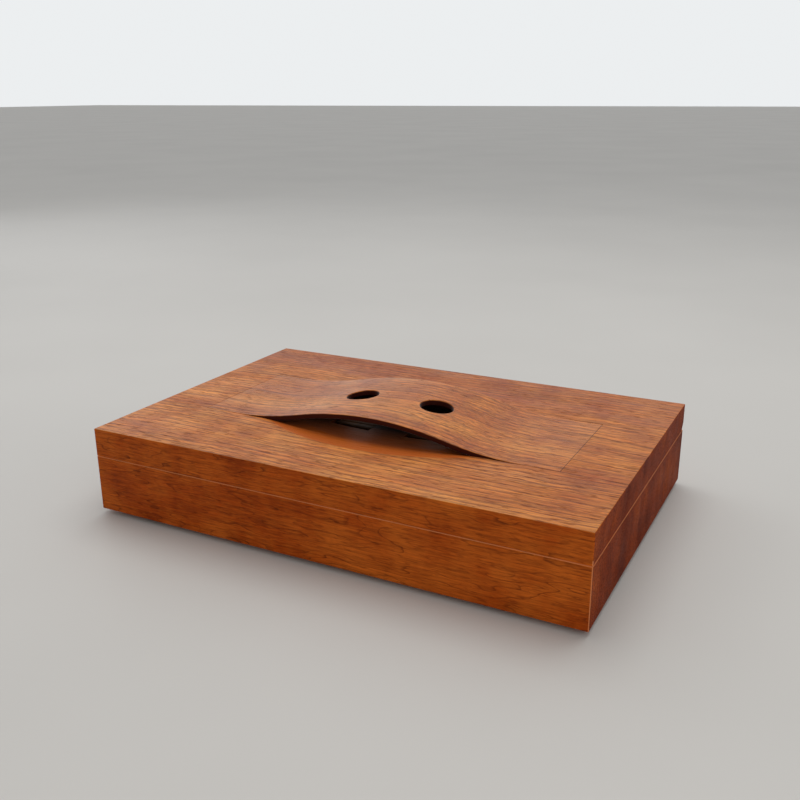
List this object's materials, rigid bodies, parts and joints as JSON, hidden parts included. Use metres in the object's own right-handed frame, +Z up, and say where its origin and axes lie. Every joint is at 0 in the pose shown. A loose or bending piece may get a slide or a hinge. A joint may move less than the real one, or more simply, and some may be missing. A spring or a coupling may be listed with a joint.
{
  "type": "wooden puzzle box",
  "caption": "Shallow hinged hardwood box with a dished lid, a lift-out wave-shaped panel with finger holes, and hidden finger slides that bolt the lid shut.",
  "frame": {"origin": "on the surface that the feet stand on, under the middle of the box", "axes": "+X along the front to the right, +Y from the front to the hinged back, +Z up"},
  "size_m": [0.3, 0.2, 0.0655],
  "materials": {
    "case_wood": "satin oil, fine straight grain",
    "liner_wood": "satin oil",
    "inner_wood": "bare, sanded",
    "slide_wood": "waxed, ribbed",
    "felt": "wool felt",
    "foot_rubber": "matte",
    "brass": "brushed",
    "steel": "ground"
  },
  "bodies": {
    "base": {"foot_front_left": "foot_rubber", "foot_front_right": "foot_rubber", "foot_back_left": "foot_rubber", "foot_back_right": "foot_rubber", "foot_screws": "brass", "bottom_panel": "inner_wood", "base_splines": "inner_wood", "hinge_arm_left": "brass", "hinge_arm_right": "brass", "hinge_pin_left": "steel", "hinge_pin_right": "steel", "hinge_screws": "brass", "liner_left": "liner_wood", "liner_right": "liner_wood", "liner_back": "liner_wood", "liner_front": "liner_wood", "keeper_left": "brass", "keeper_right": "brass", "keeper_screws": "brass", "base_felt": "felt", "base_front": "case_wood", "base_back": "case_wood", "base_left": "case_wood", "base_right": "case_wood"},
    "lid": {"lid_splines": "inner_wood", "hinge_bush_left": "brass", "hinge_bush_right": "brass", "lid_front": "case_wood", "lid_back": "case_wood", "lid_left": "case_wood", "lid_right": "case_wood", "lid_magnets": "steel", "lid_top": "case_wood", "deck_screws": "brass", "stop_pegs": "brass", "deck": "liner_wood", "guide_left": "inner_wood", "guide_right": "inner_wood", "guide_middle": "inner_wood", "strip_left": "inner_wood", "strip_right": "inner_wood", "strip_back": "inner_wood"},
    "wave_panel": {"wave_panel": "case_wood", "wave_rib": "case_wood", "panel_magnets": "steel"},
    "left_bolt": {"bolt_left": "brass", "finger_slide_left": "slide_wood", "slide_screw_left": "brass"},
    "right_bolt": {"bolt_right": "brass", "finger_slide_right": "slide_wood", "slide_screw_right": "brass"}
  },
  "joints": [
    {"name": "lid_hinge", "type": "hinge", "parent": "base", "child": "lid", "pos_m": [0, 0.095, 0.0426], "axis": [-1, 0, 0], "range_deg": [0, 96]},
    {"name": "wave_panel_lift", "type": "slide", "parent": "lid", "child": "wave_panel", "axis": [0, 0, 1], "range_m": [0, 0.02]},
    {"name": "left_bolt_slide", "type": "slide", "parent": "lid", "child": "left_bolt", "axis": [0, -1, 0], "range_m": [0, 0.0055]},
    {"name": "right_bolt_slide", "type": "slide", "parent": "lid", "child": "right_bolt", "axis": [0, -1, 0], "range_m": [0, 0.0055]}
  ]
}
